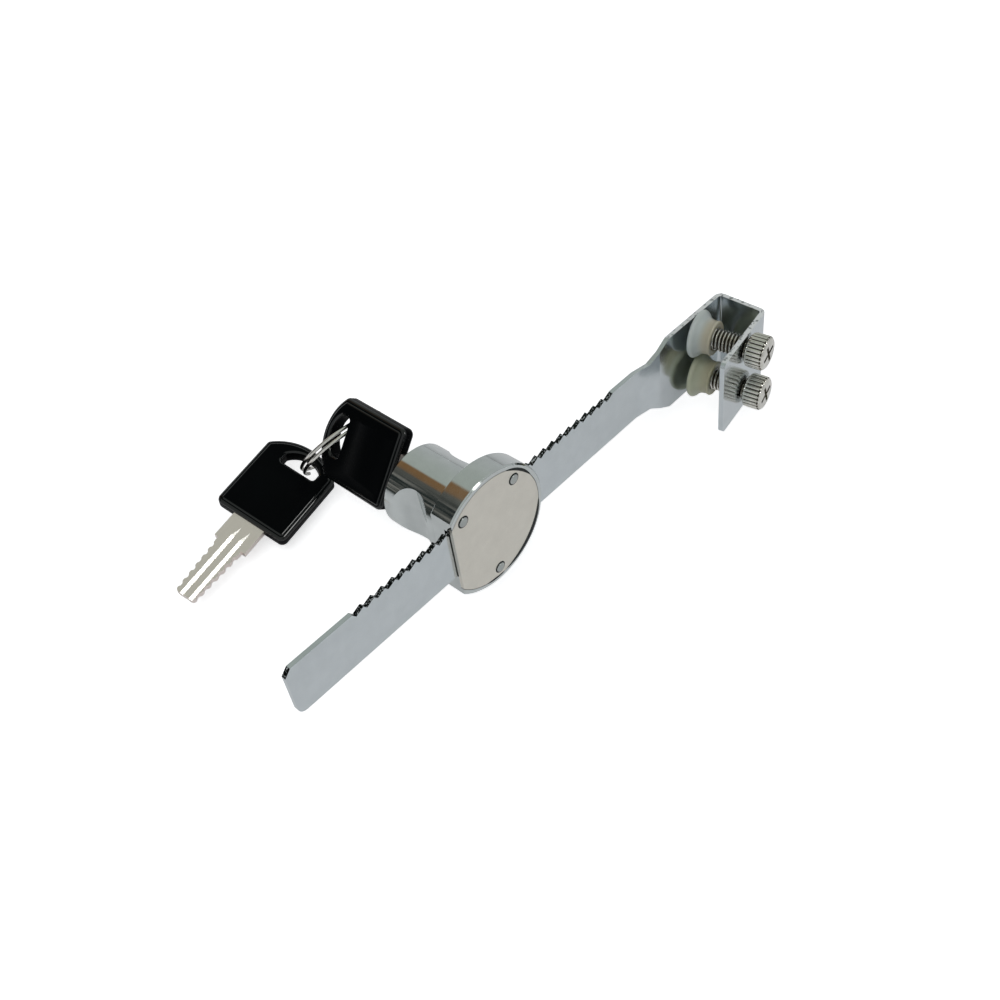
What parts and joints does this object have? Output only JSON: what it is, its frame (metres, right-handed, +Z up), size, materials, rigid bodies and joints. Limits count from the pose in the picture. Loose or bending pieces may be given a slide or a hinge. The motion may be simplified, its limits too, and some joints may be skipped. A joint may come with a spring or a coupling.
{
  "type": "glass cabinet door lock",
  "caption": "Ratchet bar lock for a sliding glass cabinet door, with a screw clamp for the pane, a key barrel that slides along the teeth, and keys on a split ring.",
  "frame": {"origin": "middle of the glass seat, the front face of the clamp's inner leg", "axes": "+X along the bar towards the clamp's closed end, +Y from the glass seat towards the keys, +Z up, with the teeth on top"},
  "size_m": [0.1552, 0.1032, 0.0393],
  "materials": {
    "chrome_bar": "plated",
    "chrome_case": "plated",
    "nickel": "plated",
    "nylon": "translucent",
    "plate_steel": "satin",
    "rivet_steel": "peened",
    "plug_brass": "plated",
    "steel": "plain",
    "wafer_brass": "plain",
    "spring_steel": "bright",
    "key_metal": "nickel plated",
    "key_plastic": "gloss",
    "ring_steel": "bright"
  },
  "bodies": {
    "bar": {"ratchet_bar": "chrome_bar"},
    "lock_body": {"lock_housing": "chrome_case", "back_plate": "plate_steel", "plate_rivets": "rivet_steel", "pawl_springs": "spring_steel"},
    "plug": {"lock_plug": "plug_brass", "cam_pin": "steel", "plug_clip": "steel", "wafer_springs": "spring_steel"},
    "wafers_odd": {"wafer_1": "wafer_brass", "wafer_3": "wafer_brass", "wafer_5": "wafer_brass"},
    "wafers_even": {"wafer_2": "wafer_brass", "wafer_4": "wafer_brass"},
    "pawl": {"pawl": "steel"},
    "key": {"key_blade": "key_metal", "key_bow": "key_plastic"},
    "ring": {"key_ring": "ring_steel"},
    "spare_key": {"spare_key_blade": "key_metal", "spare_key_bow": "key_plastic"},
    "upper_pad": {"pad_upper": "nylon"},
    "lower_pad": {"pad_lower": "nylon"},
    "upper_screw": {"thumbscrew_upper": "nickel"},
    "lower_screw": {"thumbscrew_lower": "nickel"}
  },
  "joints": [
    {"name": "lock_slide", "type": "slide", "parent": "bar", "child": "lock_body", "axis": [1, 0, 0], "range_m": [-0.0416, 0.0384]},
    {"name": "plug_turn", "type": "hinge", "parent": "lock_body", "child": "plug", "pos_m": [-0.08, 0.016, -0.0014], "axis": [0, -1, 0], "range_deg": [0, 90]},
    {"name": "pawl_lift", "type": "slide", "parent": "lock_body", "child": "pawl", "axis": [0, 0, 1], "range_m": [-0.0017, 0], "deforming": ["pawl_springs"]},
    {"name": "key_slide", "type": "slide", "parent": "plug", "child": "key", "axis": [0, 1, 0], "range_m": [0, 0.026]},
    {"name": "odd_wafers_slide", "type": "slide", "parent": "plug", "child": "wafers_odd", "axis": [0.6101, 0, 0.7923], "range_m": [0, 0.0005]},
    {"name": "even_wafers_slide", "type": "slide", "parent": "plug", "child": "wafers_even", "axis": [-0.6101, 0, -0.7923], "range_m": [0, 0.0005]},
    {"name": "ring_turn", "type": "hinge", "parent": "key", "child": "ring", "pos_m": [-0.07959, 0.05557, 0.00056], "axis": [-0.9588, 0.2231, -0.1759], "range_deg": [-20, 25]},
    {"name": "spare_swing", "type": "hinge", "parent": "ring", "child": "spare_key", "pos_m": [-0.08647, 0.06749, -0.01583], "axis": [0.5941, 0.4088, -0.6928], "range_deg": [-15, 30]},
    {"name": "upper_pad_slide", "type": "slide", "parent": "bar", "child": "upper_pad", "axis": [0.1564, -0.9877, 0], "range_m": [0, 0.0075]},
    {"name": "upper_screw_turn", "type": "hinge", "parent": "upper_pad", "child": "upper_screw", "pos_m": [0.00246, -0.01579, 0.00725], "axis": [0.1564, -0.9877, 0], "range_deg": [0, 2700]},
    {"name": "lower_pad_slide", "type": "slide", "parent": "bar", "child": "lower_pad", "axis": [0.1564, -0.9877, 0], "range_m": [0, 0.0075]},
    {"name": "lower_screw_turn", "type": "hinge", "parent": "lower_pad", "child": "lower_screw", "pos_m": [0.00246, -0.01579, -0.00645], "axis": [0.1564, -0.9877, 0], "range_deg": [0, 2700]}
  ],
  "couplings": [
    {"joint": "pawl_lift", "follows": "plug_turn", "m_per_rad": -0.0010804},
    {"joint": "odd_wafers_slide", "follows": "key_slide", "ratio": 0.019229},
    {"joint": "even_wafers_slide", "follows": "key_slide", "ratio": 0.019229},
    {"joint": "upper_screw_turn", "follows": "upper_pad_slide", "rad_per_m": 6283.1},
    {"joint": "lower_screw_turn", "follows": "lower_pad_slide", "rad_per_m": 6283.1}
  ]
}
